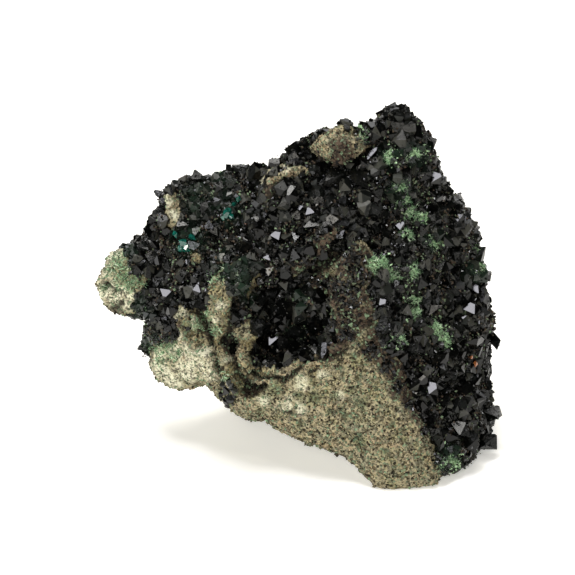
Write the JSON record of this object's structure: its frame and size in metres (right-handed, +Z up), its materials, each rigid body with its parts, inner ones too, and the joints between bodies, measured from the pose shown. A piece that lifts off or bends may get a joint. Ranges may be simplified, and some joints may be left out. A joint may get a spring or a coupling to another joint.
{
  "type": "libethenite mineral specimen",
  "caption": "Broken piece of schist matrix whose upper side carries a dark druse of libethenite crystals, for display resting on a shelf or table.",
  "frame": {"origin": "on the surface that the specimen rests on, under the middle of its bounding box", "axes": "+Z up, +X to the right of the pictured side, +Y away from the viewer"},
  "size_m": [0.0647, 0.0446, 0.0594],
  "materials": {
    "schist": "rough, granular, tan grey, stained brown and green in places",
    "libethenite": "vitreous crystal faces, nearly black green"
  },
  "bodies": {
    "root": {"matrix": "schist", "libethenite_druse": "libethenite", "edge_crystals": "libethenite"}
  },
  "joints": []
}
